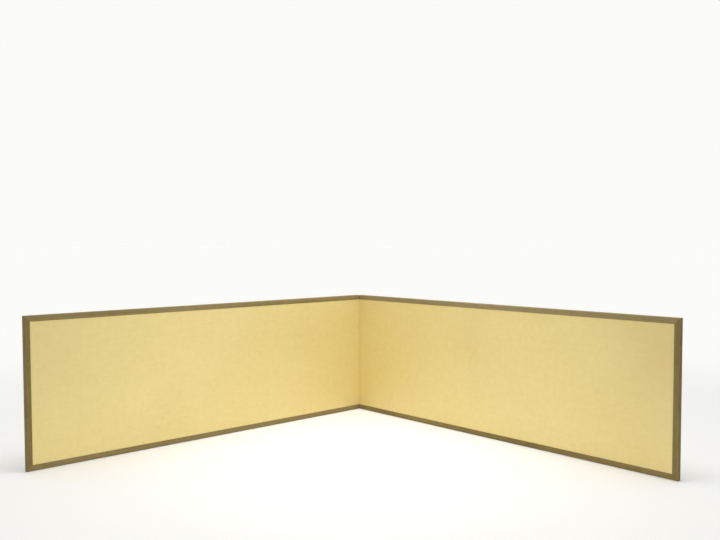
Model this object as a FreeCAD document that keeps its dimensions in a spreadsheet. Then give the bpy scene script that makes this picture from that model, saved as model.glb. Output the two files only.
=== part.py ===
import FreeCAD, Part
import math
import os
import Sketcher
from FreeCAD import Placement, Rotation, Vector

# A low two-panel folding screen for the tea room, standing half open on the floor.
#
# Each panel is a cedar lattice (four outer members, crossbars and uprights half-lapped over and under each other),
# covered front and back with layered under-paper and a face paper, and edged on three sides with a thin mitred wooden
# frame that sits on hidden bamboo pegs. The hinge edge has no wood: the panels hang on six strips of paper (wings),
# which run by turns from the front of one panel to the back of the other, so the screen folds both ways.
#
# Row frame: +Z up, the viewer's side is -Y, and the two panels stand either side of the plane X = 0.
# Every piece is drawn with the screen laid out flat (left panel in -X, right panel in +X, front at Y = 0, back at
# Y = panel_depth), and its Placement then turns it about the front fold line into the half-open pose.
# Millimetres and degrees throughout.

doc = FreeCAD.newDocument("folding_screen")
dims = doc.addObject("Spreadsheet::Sheet", "dims")

CELLS = [
    # whole panels
    ("panel_width", 909.0, "hinge line to outer end, 3 shaku"),
    ("panel_height", 333.0, "floor to top, 1 shaku 1 sun"),
    ("panel_depth", 12.1, "thickness over the frame, 4 bu"),
    ("fold_half", 41.75, "each panel's turn from flat; the panels stand at 180 - 2 x this"),
    ("fold_y", 297.818, "front fold line in the row frame, so that the origin is under the middle of the box"),
    # outer frame
    ("frame_face", 12.7, "width of the frame seen from the front"),
    ("arris_outer", 0.8, "eased outer edges of the frame"),
    ("arris_inner", 0.3, "eased inner edges of the frame"),
    ("arris_end", 0.15, "eased edges at the rails' hinge ends"),
    # paper hinge
    ("hinge_gap", 0.42, "from the fold's middle plane to each panel's papered edge"),
    ("rail_gap", 0.05, "from the fold's middle plane to the ends of the frame's rails"),
    ("axis_clear", 0.15, "fold lines stand this far out of the frame's faces"),
    ("wing_count", 6, "paper wings up the hinge"),
    ("wing_slit", 0.6, "slit between two wings"),
    ("wing_thick", 0.24, "paper of a wing"),
    ("foot_thick", 0.2, "pasted foot of a wing"),
    ("foot_wide", 35.0, "how far a foot reaches on to the panel"),
    # papers
    ("paper_recess", 0.4, "face paper lies this far below the frame's face"),
    ("face_paper", 0.25, "gold or back paper with its lining"),
    ("under_paper", 0.55, "all the under-layers together"),
    ("edge_paper", 0.3, "paper over the core's hinge edge"),
    # core
    ("member_wide", 24.0, "outer members of the core"),
    ("bar_wide", 10.0, "lattice bars"),
    ("upright_count", 7, "uprights between the core's stiles"),
    ("crossbar_count", 2, "crossbars between the core's rails"),
    ("tenon_thick", 4.0, "thickness of all tongues and tenons"),
    ("tenon_long", 6.0, "stub tenons of the bars"),
    # pegs
    ("peg_radius", 1.1, "bamboo pegs"),
    ("peg_play", 0.05, "hole over peg"),
    ("peg_tip", 2.0, "length of a peg's point"),
    ("peg_flat", 0.3, "radius of the blunt end of the point"),
    ("peg_in_frame", 7.0, "hole depth in the frame"),
    ("peg_in_core", 13.0, "hole depth in the core"),
    ("peg_rail_count", 6, "pegs along a rail"),
    ("peg_rail_end", 62.0, "end pegs in from the core's ends"),
    ("peg_stile_count", 3, "pegs up the outer stile"),
    ("peg_stile_end", 58.0, "end pegs in from the core's ends"),
]
VALUES = {}
for row, (alias, number, note) in enumerate(CELLS, start=1):
    dims.set("A%d" % row, alias)
    dims.set("B%d" % row, str(number))
    dims.set("C%d" % row, note)
    dims.setAlias("B%d" % row, alias)
    VALUES[alias] = float(number)
doc.recompute()


class Size:
    """A length that keeps its number and the sheet expression it comes from."""

    def __init__(self, number, text):
        self.number = float(number)
        self.text = text

    def __add__(self, other):
        other = size(other)
        return Size(self.number + other.number, "(%s + %s)" % (self.text, other.text))

    def __sub__(self, other):
        other = size(other)
        return Size(self.number - other.number, "(%s - %s)" % (self.text, other.text))

    def __mul__(self, other):
        other = size(other)
        return Size(self.number * other.number, "(%s * %s)" % (self.text, other.text))

    def __truediv__(self, other):
        other = size(other)
        return Size(self.number / other.number, "(%s / %s)" % (self.text, other.text))

    def __neg__(self):
        return Size(-self.number, "(0 - %s)" % self.text)

    __radd__ = __add__

    def __rsub__(self, other):
        return size(other) - self

    def __rmul__(self, other):
        return size(other) * self


def size(x):
    return x if isinstance(x, Size) else Size(x, repr(float(x)))


def cell(alias):
    return Size(VALUES[alias], "dims." + alias)


W = cell("panel_width")
H = cell("panel_height")
T = cell("panel_depth")
FACE = cell("frame_face")
GAP = cell("hinge_gap")
RAIL_GAP = cell("rail_gap")
MEMBER = cell("member_wide")
BAR = cell("bar_wide")
TENON = cell("tenon_long")
PLAY = cell("peg_play")
PEG = cell("peg_radius")

RECESS = cell("paper_recess")
GOLD_IN = RECESS + cell("face_paper")  # back of the gold paper, front of the under-paper
CORE_FRONT = GOLD_IN + cell("under_paper")
CORE_BACK = T - CORE_FRONT
BACK_IN = T - GOLD_IN
BACK_OUT = T - RECESS
MIDDLE = T / 2
TONGUE_FRONT = MIDDLE - cell("tenon_thick") / 2
TONGUE_BACK = MIDDLE + cell("tenon_thick") / 2

CORE_HINGE = GAP + cell("edge_paper")  # hinge edge of the core
CORE_OUTER = W - FACE  # outer edge of the core
CORE_LOW = FACE
CORE_HIGH = H - FACE
CELL_HINGE = CORE_HINGE + MEMBER  # inside of the core's four members
CELL_OUTER = CORE_OUTER - MEMBER
CELL_LOW = CORE_LOW + MEMBER
CELL_HIGH = CORE_HIGH - MEMBER

UPRIGHTS = int(VALUES["upright_count"])
CROSSBARS = int(VALUES["crossbar_count"])
WINGS = int(VALUES["wing_count"])
RAIL_PEGS = int(VALUES["peg_rail_count"])
STILE_PEGS = int(VALUES["peg_stile_count"])

UPRIGHT_PITCH = (CELL_OUTER - CELL_HINGE - BAR * cell("upright_count")) / (cell("upright_count") + 1) + BAR
CROSSBAR_PITCH = (CELL_HIGH - CELL_LOW - BAR * cell("crossbar_count")) / (cell("crossbar_count") + 1) + BAR
WING_PITCH = (CORE_HIGH - CORE_LOW) / cell("wing_count")
RAIL_PEG_PITCH = (CORE_OUTER - CORE_HINGE - cell("peg_rail_end") * 2) / (cell("peg_rail_count") - 1)
STILE_PEG_PITCH = (CORE_HIGH - CORE_LOW - cell("peg_stile_end") * 2) / (cell("peg_stile_count") - 1)


def upright_at(i):
    return CELL_HINGE + UPRIGHT_PITCH * (i + 1) - BAR


def crossbar_at(j):
    return CELL_LOW + CROSSBAR_PITCH * (j + 1) - BAR


def rail_peg_at(i):
    return CORE_HINGE + cell("peg_rail_end") + RAIL_PEG_PITCH * i


def stile_peg_at(i):
    return CORE_LOW + cell("peg_stile_end") + STILE_PEG_PITCH * i


def wing_span(i):
    low = CORE_LOW + WING_PITCH * i + cell("wing_slit") / 2
    return low, CORE_LOW + WING_PITCH * (i + 1) - cell("wing_slit") / 2


def upright_in_front(i, j):
    return (i + j) % 2 == 0


# ---------------------------------------------------------------- helpers

pieces = []


def pose(obj, side):
    """Turns a piece drawn flat about the front fold line, as its panel stands."""
    c, half = "dims.axis_clear", "dims.fold_half * 1 deg"
    sign = "-1" if side < 0 else "1"
    obj.setExpression(
        "Placement",
        "create(<<placement>>; create(<<vector>>; %s * %s * sin(%s); dims.fold_y + %s * cos(%s); 0); "
        "create(<<rotation>>; create(<<vector>>; 0; 0; 1); -1 * %s * dims.fold_half))"
        % (sign, c, half, c, half, sign),
    )


def keep(obj, label, side):
    obj.Label = label
    pose(obj, side)
    pieces.append(obj)
    return obj


def box(name, side, s0, s1, y0, y1, z0, z1):
    """A box from the hinge side s0 to the outer side s1, in the flat layout."""
    s0, s1, y0, y1, z0, z1 = (size(v) for v in (s0, s1, y0, y1, z0, z1))
    b = doc.addObject("Part::Box", name)
    b.setExpression("Length", (s1 - s0).text)
    b.setExpression("Width", (y1 - y0).text)
    b.setExpression("Height", (z1 - z0).text)
    b.setExpression("Placement.Base.x", s0.text if side > 0 else (-s1).text)
    b.setExpression("Placement.Base.y", y0.text)
    b.setExpression("Placement.Base.z", z0.text)
    return b


def fuse(name, objs):
    if len(objs) == 1:
        return objs[0]
    f = doc.addObject("Part::MultiFuse", name)
    f.Shapes = objs
    f.Refine = True
    return f


def cut(name, base, tools):
    c = doc.addObject("Part::Cut", name)
    c.Base = base
    c.Tool = fuse(name + "_tools", tools)
    return c


def rod(name, side, s, y, z, radius, length, along):
    """A cylinder that starts at (s, y, z); along is "up", or "in" for towards the hinge."""
    c = doc.addObject("Part::Cylinder", name)
    c.setExpression("Radius", radius.text)
    c.setExpression("Height", length.text)
    if along == "in":
        c.Placement = Placement(Vector(), Rotation(Vector(0, 1, 0), -90 * side))
    c.setExpression("Placement.Base.x", s.text if side > 0 else (-s).text)
    c.setExpression("Placement.Base.y", y.text)
    c.setExpression("Placement.Base.z", z.text)
    return c


def plane_of(body, role):
    for feature in body.Origin.OriginFeatures:
        if feature.Role == role:
            return feature
    raise RuntimeError("no " + role)


def sketch_on(body, role, name, offset=None):
    """A sketch on one of the body's origin planes, moved along the plane's normal by offset."""
    sk = body.newObject("Sketcher::SketchObject", name)
    sk.AttachmentSupport = [(plane_of(body, role), "")]
    sk.MapMode = "FlatFace"
    if offset is not None:
        sk.setExpression("AttachmentOffset.Base.z", size(offset).text)
    return sk


def pin_point(sk, line, end, x, y):
    """Holds a sketch point at (x, y) from the sketch's origin with two driving dimensions."""
    for kind, value in (("DistanceX", size(x)), ("DistanceY", size(y))):
        if abs(value.number) < 1e-9:
            sk.addConstraint(
                Sketcher.Constraint("PointOnObject", line, end, -2 if kind == "DistanceX" else -1)
            )
        elif value.number > 0:
            n = sk.addConstraint(Sketcher.Constraint(kind, -1, 1, line, end, value.number))
            sk.setExpression("Constraints[%d]" % n, value.text)
        else:
            n = sk.addConstraint(Sketcher.Constraint(kind, line, end, -1, 1, -value.number))
            sk.setExpression("Constraints[%d]" % n, (-value).text)


def polygon(sk, points):
    """A closed outline whose corners are all driven by the sheet."""
    points = [(size(a), size(b)) for a, b in points]
    first = sk.GeometryCount
    n = len(points)
    for i in range(n):
        a, b = points[i], points[(i + 1) % n]
        sk.addGeometry(
            Part.LineSegment(Vector(a[0].number, a[1].number, 0), Vector(b[0].number, b[1].number, 0)), False
        )
    for i in range(n):
        sk.addConstraint(Sketcher.Constraint("Coincident", first + i, 2, first + (i + 1) % n, 1))
    for i in range(n):
        pin_point(sk, first + i, 1, *points[i])


def circle(sk, x, y, radius):
    x, y, radius = size(x), size(y), size(radius)
    g = sk.addGeometry(Part.Circle(Vector(x.number, y.number, 0), Vector(0, 0, 1), radius.number), False)
    n = sk.addConstraint(Sketcher.Constraint("Radius", g, radius.number))
    sk.setExpression("Constraints[%d]" % n, radius.text)
    pin_point(sk, g, 3, x, y)


def pad(body, sk, name, length, reverse=False):
    p = body.newObject("PartDesign::Pad", name)
    p.Profile = sk
    p.Reversed = reverse
    p.setExpression("Length", size(length).text)
    body.Tip = p
    return p


def pocket(body, sk, name, length, reverse=False, both=False):
    p = body.newObject("PartDesign::Pocket", name)
    p.Profile = sk
    p.Midplane = both
    p.Reversed = reverse
    p.setExpression("Length", size(length).text)
    body.Tip = p
    return p


def in_line(body, features, name, axis, length, count, backwards=False):
    """Repeats features along one of the body's axes; length is from the first to the last."""
    p = body.newObject("PartDesign::LinearPattern", name)
    p.Originals = features
    p.Direction = (plane_of(body, axis), [""])
    p.Reversed = backwards
    p.setExpression("Length", size(length).text)
    p.Occurrences = count
    body.Tip = p
    return p


def must_lose(body, before, expected, what, slack=0.02):
    """A pocket that points away from the wood cuts nothing, so its volume is compared."""
    lost = before - body.Shape.Volume
    if abs(lost - expected) > max(slack * expected, 0.5):
        raise RuntimeError("%s took away %.1f mm3, not %.1f" % (what, lost, expected))


def section(u0, u1, v0, v1, outer_high):
    """The frame's section, with its outer edges (at v1 if outer_high) and inner edges eased."""
    inner, outer = cell("arris_inner"), cell("arris_outer")
    low, high = (inner, outer) if outer_high else (outer, inner)
    return [
        (u0 + low, v0),
        (u1 - low, v0),
        (u1, v0 + low),
        (u1, v1 - high),
        (u1 - high, v1),
        (u0 + high, v1),
        (u0, v1 - high),
        (u0, v0 + low),
    ]


# ---------------------------------------------------------------- the outer frame


def frame_rail(side, word, upper):
    """Top or bottom rail of the frame: square at the hinge, mitred at the outer end, pegged to the core."""
    name = "%s_frame_%s_rail" % (word, "top" if upper else "bottom")
    body = doc.addObject("PartDesign::Body", name)
    low, high = (H - FACE, H) if upper else (size(0), FACE)
    sk = sketch_on(body, "YZ_Plane", name + "_section", RAIL_GAP if side > 0 else -RAIL_GAP)
    polygon(sk, section(size(0), T, low, high, upper))
    pad(body, sk, name + "_bar", W - RAIL_GAP, reverse=side < 0)
    doc.recompute()

    # the hinge end's edges are eased, so that the two rails pass each other as the screen shuts
    before = body.Shape.Volume
    ease, over = cell("arris_end"), 1
    sk = sketch_on(body, "XY_Plane", name + "_end_ease_plan")
    for y, way in ((size(0), 1), (T, -1)):
        corners = [(RAIL_GAP - over, y - way * over), (RAIL_GAP + ease + over, y - way * over), (RAIL_GAP - over, y + way * (ease + over))]
        polygon(sk, [(a if side > 0 else -a, b) for a, b in corners])
    pocket(body, sk, name + "_end_ease", H * 4, both=True)
    sk = sketch_on(body, "XZ_Plane", name + "_end_ease_profile")
    z, way = (H, 1) if upper else (size(0), -1)
    corners = [(RAIL_GAP - over, z + way * over), (RAIL_GAP + ease + over, z + way * over), (RAIL_GAP - over, z - way * (ease + over))]
    polygon(sk, [(a if side > 0 else -a, b) for a, b in corners])
    pocket(body, sk, name + "_end_ease_outer", T * 4, both=True)
    doc.recompute()
    e = VALUES["arris_end"]
    must_lose(body, before, e * e / 2 * (2 * VALUES["frame_face"] + VALUES["panel_depth"]), name + " end ease", 0.15)

    # mitre: the outer end runs from the inner corner to the outer corner
    before = body.Shape.Volume
    over = 3
    sk = sketch_on(body, "XZ_Plane", name + "_mitre_line")
    inner_z, way = (H - FACE, 1) if upper else (FACE, -1)
    tip_in = (W - FACE - over, inner_z - over * way)
    tip_out = (W + over, inner_z + way * (FACE + over))
    corner = (W + over, inner_z - over * way)
    polygon(sk, [(p[0] if side > 0 else -p[0], p[1]) for p in (tip_in, tip_out, corner)])
    pocket(body, sk, name + "_mitre", T * 4, both=True)
    doc.recompute()
    face, depth = VALUES["frame_face"], VALUES["panel_depth"]
    must_lose(body, before, face * face / 2 * depth, name + " mitre")

    # blind peg holes in the face that meets the core
    before = body.Shape.Volume
    sk = sketch_on(body, "XY_Plane", name + "_peg_mark", inner_z)
    x = rail_peg_at(0)
    circle(sk, x if side > 0 else -x, MIDDLE, PEG + PLAY)
    hole = pocket(body, sk, name + "_peg_hole", cell("peg_in_frame"), reverse=upper)
    in_line(body, [hole], name + "_peg_holes", "X_Axis", RAIL_PEG_PITCH * (RAIL_PEGS - 1), RAIL_PEGS, side < 0)
    doc.recompute()
    r = VALUES["peg_radius"] + VALUES["peg_play"]
    must_lose(body, before, RAIL_PEGS * math.pi * r * r * VALUES["peg_in_frame"], name + " peg holes")
    keep(body, name, side)


def frame_stile(side, word):
    """Outer stile of the frame, mitred at both ends."""
    name = "%s_frame_outer_stile" % word
    body = doc.addObject("PartDesign::Body", name)
    sk = sketch_on(body, "XY_Plane", name + "_section")
    # the section's eased outer edges face away from the hinge
    pts = section(size(0), T, W - FACE, W, True)
    polygon(sk, [(v if side > 0 else -v, u) for u, v in pts])
    pad(body, sk, name + "_bar", H)
    doc.recompute()
    before = body.Shape.Volume
    over = 3
    sk = sketch_on(body, "XZ_Plane", name + "_mitre_lines")
    for inner_z, way in ((H - FACE, 1), (FACE, -1)):
        tip_in = (W - FACE - over, inner_z - over * way)
        tip_out = (W + over, inner_z + way * (FACE + over))
        corner = (W - FACE - over, inner_z + way * (FACE + over))
        polygon(sk, [(p[0] if side > 0 else -p[0], p[1]) for p in (tip_in, tip_out, corner)])
    pocket(body, sk, name + "_mitres", T * 4, both=True)
    doc.recompute()
    face, depth = VALUES["frame_face"], VALUES["panel_depth"]
    must_lose(body, before, face * face * depth, name + " mitres")

    before = body.Shape.Volume
    x = W - FACE
    sk = sketch_on(body, "YZ_Plane", name + "_peg_mark", x if side > 0 else -x)
    circle(sk, MIDDLE, stile_peg_at(0), PEG + PLAY)
    hole = pocket(body, sk, name + "_peg_hole", cell("peg_in_frame"), reverse=side > 0)
    in_line(body, [hole], name + "_peg_holes", "Z_Axis", STILE_PEG_PITCH * (STILE_PEGS - 1), STILE_PEGS)
    doc.recompute()
    r = VALUES["peg_radius"] + VALUES["peg_play"]
    must_lose(body, before, STILE_PEGS * math.pi * r * r * VALUES["peg_in_frame"], name + " peg holes")
    keep(body, name, side)


# ---------------------------------------------------------------- the pegs


def pegs(side, word):
    """All of one panel's bamboo pegs: pointed at both ends, half in the frame and half in the core."""
    name = "%s_frame_pegs" % word
    body = doc.addObject("PartDesign::Body", name)
    body.AllowCompound = True
    tip, flat = cell("peg_tip"), cell("peg_flat")
    stop = 0.3  # each end stops short of the hole's bottom
    long = cell("peg_in_frame") + cell("peg_in_core") - 2 * stop

    def outline(sk, across, start, upright):
        """Half of a peg's outline beside its own centre line."""
        pts = [
            (across, start),
            (across + flat, start),
            (across + PEG, start + tip),
            (across + PEG, start + long - tip),
            (across + flat, start + long),
            (across, start + long),
        ]
        polygon(sk, pts if upright else [(b, a) for a, b in pts])

    # sketches lie in the panel's middle plane; the XZ plane's normal is -Y
    x = rail_peg_at(0)
    for title, start in (
        ("bottom", FACE - cell("peg_in_frame") + stop),
        ("top", H - FACE - cell("peg_in_core") + stop),
    ):
        sk = sketch_on(body, "XZ_Plane", "%s_%s_outline" % (name, title), -MIDDLE)
        outline(sk, x if side > 0 else -x, start, True)
        axis_line(sk, x if side > 0 else -x, start, long, True)
        r = turn_about(body, sk, "%s_%s_peg" % (name, title))
        in_line(
            body, [r], "%s_%s_row" % (name, title), "X_Axis", RAIL_PEG_PITCH * (RAIL_PEGS - 1), RAIL_PEGS, side < 0
        )
        doc.recompute()
    start = W - FACE - cell("peg_in_core") + stop
    sk = sketch_on(body, "XZ_Plane", "%s_stile_outline" % name, -MIDDLE)
    begin = start if side > 0 else -(start + long)
    outline(sk, stile_peg_at(0), begin, False)
    axis_line(sk, stile_peg_at(0), begin, long, False)
    r = turn_about(body, sk, "%s_stile_peg" % name)
    in_line(body, [r], "%s_stile_row" % name, "Z_Axis", STILE_PEG_PITCH * (STILE_PEGS - 1), STILE_PEGS)
    doc.recompute()
    keep(body, name, side)


def axis_line(sk, across, start, long, upright):
    """A construction line down the middle of a peg."""
    a, b = (across, start), (across, start + long)
    if not upright:
        a, b = (a[1], a[0]), (b[1], b[0])
    g = sk.addGeometry(
        Part.LineSegment(Vector(a[0].number, a[1].number, 0), Vector(b[0].number, b[1].number, 0)), True
    )
    pin_point(sk, g, 1, *a)
    pin_point(sk, g, 2, *b)


def turn_about(body, sk, name):
    r = body.newObject("PartDesign::Revolution", name)
    r.Profile = sk
    r.Angle = 360
    r.ReferenceAxis = (sk, ["Axis0"])
    body.Tip = r
    return r


# ---------------------------------------------------------------- the core


def core_rail(side, word, upper):
    """Top or bottom member of the core, with a tongue at each end and mortises for the uprights."""
    name = "%s_core_%s_rail" % (word, "top" if upper else "bottom")
    z0, z1 = (CELL_HIGH, CORE_HIGH) if upper else (CORE_LOW, CELL_LOW)
    solid = fuse(
        name + "_blank",
        [
            box(name + "_bar", side, CELL_HINGE, CELL_OUTER, CORE_FRONT, CORE_BACK, z0, z1),
            box(name + "_tongues", side, CORE_HINGE, CORE_OUTER, TONGUE_FRONT, TONGUE_BACK, z0, z1),
        ],
    )
    tools = []
    m0, m1 = (z0, z0 + TENON) if upper else (z1 - TENON, z1)
    for i in range(UPRIGHTS):
        s = upright_at(i)
        tools.append(box("%s_mortise_%d" % (name, i + 1), side, s, s + BAR, TONGUE_FRONT, TONGUE_BACK, m0, m1))
    start = z1 - cell("peg_in_core") if upper else z0
    for i in range(RAIL_PEGS):
        tools.append(
            rod(
                "%s_peg_hole_%d" % (name, i + 1),
                side,
                rail_peg_at(i),
                MIDDLE,
                start,
                PEG + PLAY,
                cell("peg_in_core"),
                "up",
            )
        )
    keep(cut(name, solid, tools), name, side)


def core_stile(side, word, outer):
    """Hinge or outer stile of the core, slotted at both ends for the rails' tongues."""
    name = "%s_core_%s_stile" % (word, "outer" if outer else "hinge")
    s0, s1 = (CELL_OUTER, CORE_OUTER) if outer else (CORE_HINGE, CELL_HINGE)
    blank = box(name + "_bar", side, s0, s1, CORE_FRONT, CORE_BACK, CORE_LOW, CORE_HIGH)
    tools = [
        box(name + "_slot_low", side, s0, s1, TONGUE_FRONT, TONGUE_BACK, CORE_LOW, CELL_LOW),
        box(name + "_slot_high", side, s0, s1, TONGUE_FRONT, TONGUE_BACK, CELL_HIGH, CORE_HIGH),
    ]
    m0, m1 = (s0, s0 + TENON) if outer else (s1 - TENON, s1)
    for j in range(CROSSBARS):
        z = crossbar_at(j)
        tools.append(box("%s_mortise_%d" % (name, j + 1), side, m0, m1, TONGUE_FRONT, TONGUE_BACK, z, z + BAR))
    if outer:
        for i in range(STILE_PEGS):
            tools.append(
                rod(
                    "%s_peg_hole_%d" % (name, i + 1),
                    side,
                    s1,
                    MIDDLE,
                    stile_peg_at(i),
                    PEG + PLAY,
                    cell("peg_in_core"),
                    "in",
                )
            )
    keep(cut(name, blank, tools), name, side)


def crossbar(side, word, j):
    name = "%s_lattice_crossbar_%d" % (word, j + 1)
    z = crossbar_at(j)
    solid = fuse(
        name + "_blank",
        [
            box(name + "_bar", side, CELL_HINGE, CELL_OUTER, CORE_FRONT, CORE_BACK, z, z + BAR),
            box(name + "_tenons", side, CELL_HINGE - TENON, CELL_OUTER + TENON, TONGUE_FRONT, TONGUE_BACK, z, z + BAR),
        ],
    )
    tools = []
    for i in range(UPRIGHTS):
        s = upright_at(i)
        y0, y1 = (CORE_FRONT, MIDDLE) if upright_in_front(i, j) else (MIDDLE, CORE_BACK)
        tools.append(box("%s_lap_%d" % (name, i + 1), side, s, s + BAR, y0, y1, z, z + BAR))
    keep(cut(name, solid, tools), name, side)


def upright(side, word, i):
    name = "%s_lattice_upright_%d" % (word, i + 1)
    s = upright_at(i)
    solid = fuse(
        name + "_blank",
        [
            box(name + "_bar", side, s, s + BAR, CORE_FRONT, CORE_BACK, CELL_LOW, CELL_HIGH),
            box(name + "_tenons", side, s, s + BAR, TONGUE_FRONT, TONGUE_BACK, CELL_LOW - TENON, CELL_HIGH + TENON),
        ],
    )
    tools = []
    for j in range(CROSSBARS):
        z = crossbar_at(j)
        y0, y1 = (MIDDLE, CORE_BACK) if upright_in_front(i, j) else (CORE_FRONT, MIDDLE)
        tools.append(box("%s_lap_%d" % (name, j + 1), side, s, s + BAR, y0, y1, z, z + BAR))
    keep(cut(name, solid, tools), name, side)


# ---------------------------------------------------------------- the papers


def paper(side, word, title, y0, y1, feet=()):
    """A sheet over the whole core. feet are the wings whose pasted feet it takes, in shallow beds on the side away
    from the core."""
    name = "%s_%s" % (word, title)
    body = doc.addObject("PartDesign::Body", name)
    front = y0.number < VALUES["panel_depth"] / 2
    # the XZ plane's normal is -Y
    sk = sketch_on(body, "XZ_Plane", name + "_outline", -y0)
    corners = [(GAP, CORE_LOW), (CORE_OUTER, CORE_LOW), (CORE_OUTER, CORE_HIGH), (GAP, CORE_HIGH)]
    polygon(sk, [(a if side > 0 else -a, b) for a, b in corners])
    pad(body, sk, name + "_sheet", y1 - y0, reverse=True)
    doc.recompute()
    if feet:
        before = body.Shape.Volume
        sk = sketch_on(body, "XZ_Plane", name + "_beds_outline", -(y0 if front else y1))
        area = 0.0
        for i in feet:
            z0, z1 = wing_span(i)
            beds = [(GAP, z0), (GAP + cell("foot_wide"), z0), (GAP + cell("foot_wide"), z1), (GAP, z1)]
            polygon(sk, [(a if side > 0 else -a, b) for a, b in beds])
            area += VALUES["foot_wide"] * (z1.number - z0.number)
        # pockets cut along +Y by default
        pocket(body, sk, name + "_beds", cell("foot_thick"), reverse=not front)
        doc.recompute()
        must_lose(body, before, area * VALUES["foot_thick"], name + " beds")
    keep(body, name, side)


def strip(name, side, s0, s1, y0, y1, z0, z1, rides):
    """An upright strip of paper: its plan, padded up from z0 to z1. rides is the panel whose pose it takes."""
    body = doc.addObject("PartDesign::Body", name)
    sk = sketch_on(body, "XY_Plane", name + "_plan", z0)
    polygon(sk, [(a if side > 0 else -a, b) for a, b in ((s0, y0), (s1, y0), (s1, y1), (s0, y1))])
    pad(body, sk, name + "_sheet", z1 - z0)
    keep(body, name, rides)


def edge_cover(side, word):
    name = "%s_edge_paper" % word
    strip(name, side, GAP, CORE_HINGE, CORE_FRONT, CORE_BACK, CORE_LOW, CORE_HIGH, side)


# ---------------------------------------------------------------- the paper hinge


def feet(side, word, front, which):
    """The pasted feet of every other wing on one face of a panel."""
    name = "%s_%s_hinge_feet" % (word, "front" if front else "back")
    y0, y1 = (GOLD_IN, GOLD_IN + cell("foot_thick")) if front else (BACK_IN - cell("foot_thick"), BACK_IN)
    parts = []
    for i in which:
        z0, z1 = wing_span(i)
        parts.append(box("%s_%d" % (name, i + 1), side, GAP, GAP + cell("foot_wide"), y0, y1, z0, z1))
    group = doc.addObject("Part::Compound", name)
    group.Links = parts
    keep(group, name, side)


def wing(i):
    """The part of a wing that turns, between its two creases. Odd wings lie on the right panel's edge, and even ones
    on the left panel's."""
    name = "hinge_wing_%d" % (i + 1)
    z0, z1 = wing_span(i)
    half = cell("wing_thick") / 2
    strip(name, 1, -half, half, RECESS, BACK_OUT, z0, z1, 1 if i % 2 == 0 else -1)


ODD = [i for i in range(WINGS) if i % 2 == 0]  # wings 1, 3, 5: left front to right back
EVEN = [i for i in range(WINGS) if i % 2 == 1]  # wings 2, 4, 6: left back to right front

for side, word in ((-1, "left"), (1, "right")):
    frame_rail(side, word, True)
    frame_rail(side, word, False)
    frame_stile(side, word)
    pegs(side, word)
    core_rail(side, word, True)
    core_rail(side, word, False)
    core_stile(side, word, False)
    core_stile(side, word, True)
    for j in range(CROSSBARS):
        crossbar(side, word, j)
    for i in range(UPRIGHTS):
        upright(side, word, i)
    front_feet, back_feet = (ODD, EVEN) if side < 0 else (EVEN, ODD)
    paper(side, word, "front_underpaper", GOLD_IN, CORE_FRONT, front_feet)
    paper(side, word, "back_underpaper", CORE_BACK, BACK_IN, back_feet)
    paper(side, word, "gold_paper", RECESS, GOLD_IN)
    paper(side, word, "back_paper", BACK_IN, BACK_OUT)
    edge_cover(side, word)
    feet(side, word, True, front_feet)
    feet(side, word, False, back_feet)
for i in range(WINGS):
    wing(i)

doc.recompute()

# ---------------------------------------------------------------- checks, then the files

faults = []
for obj in doc.Objects:
    if "Invalid" in obj.State or "Error" in obj.State:
        faults.append("%s is %s" % (obj.Label, obj.State))
    if obj.TypeId == "Sketcher::SketchObject" and not obj.FullyConstrained:
        faults.append("%s has free points" % obj.Label)
labels = [p.Label for p in pieces]
if len(set(labels)) != len(labels):
    faults.append("two pieces share a label")
if len(pieces) > 60:
    faults.append("%d pieces, over 60" % len(pieces))
for p in pieces:
    if p.Shape.isNull() or not p.Shape.isValid() or not p.Shape.Solids:
        faults.append("%s has no valid solid" % p.Label)
if faults:
    raise RuntimeError("; ".join(faults))

os.makedirs("parts", exist_ok=True)
for old in os.listdir("parts"):
    if old.endswith(".step") and old[:-5] not in labels:
        os.remove(os.path.join("parts", old))
total = 0.0
low = [1e9] * 3
high = [-1e9] * 3
for p in pieces:
    p.Shape.exportStep(os.path.join("parts", p.Label + ".step"))
    b = p.Shape.optimalBoundingBox(False)
    low = [min(a, c) for a, c in zip(low, (b.XMin, b.YMin, b.ZMin))]
    high = [max(a, c) for a, c in zip(high, (b.XMax, b.YMax, b.ZMax))]
    total += p.Shape.Volume
    print("%-28s solids %2d  faces %3d  volume %10.1f" % (p.Label, len(p.Shape.Solids), len(p.Shape.Faces), p.Shape.Volume))
print("pieces %d, volume %.0f mm3" % (len(pieces), total))
print("box low %s high %s" % ([round(v, 3) for v in low], [round(v, 3) for v in high]))
print("middle of the box in Y: %.3f" % ((low[1] + high[1]) / 2))
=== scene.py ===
import math

import bmesh
import bpy
import numpy as np
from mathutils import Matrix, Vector

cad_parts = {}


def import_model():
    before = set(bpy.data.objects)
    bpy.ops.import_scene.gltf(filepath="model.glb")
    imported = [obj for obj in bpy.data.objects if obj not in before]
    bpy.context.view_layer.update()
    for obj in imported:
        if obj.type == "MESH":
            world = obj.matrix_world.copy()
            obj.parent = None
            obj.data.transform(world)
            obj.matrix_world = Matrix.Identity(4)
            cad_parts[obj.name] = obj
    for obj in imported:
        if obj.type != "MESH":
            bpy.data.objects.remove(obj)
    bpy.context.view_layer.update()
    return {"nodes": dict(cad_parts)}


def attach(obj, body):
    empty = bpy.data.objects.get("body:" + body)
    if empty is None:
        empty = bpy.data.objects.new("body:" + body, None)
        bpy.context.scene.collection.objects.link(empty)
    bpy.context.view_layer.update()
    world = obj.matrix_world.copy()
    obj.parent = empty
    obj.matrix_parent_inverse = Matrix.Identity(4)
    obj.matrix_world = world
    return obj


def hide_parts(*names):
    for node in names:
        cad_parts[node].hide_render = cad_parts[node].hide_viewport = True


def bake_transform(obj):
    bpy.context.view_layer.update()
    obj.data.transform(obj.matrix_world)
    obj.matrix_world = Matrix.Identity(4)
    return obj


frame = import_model()

# ---------------------------------------------------------------- sizes, in millimetres, as in the CAD

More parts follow.
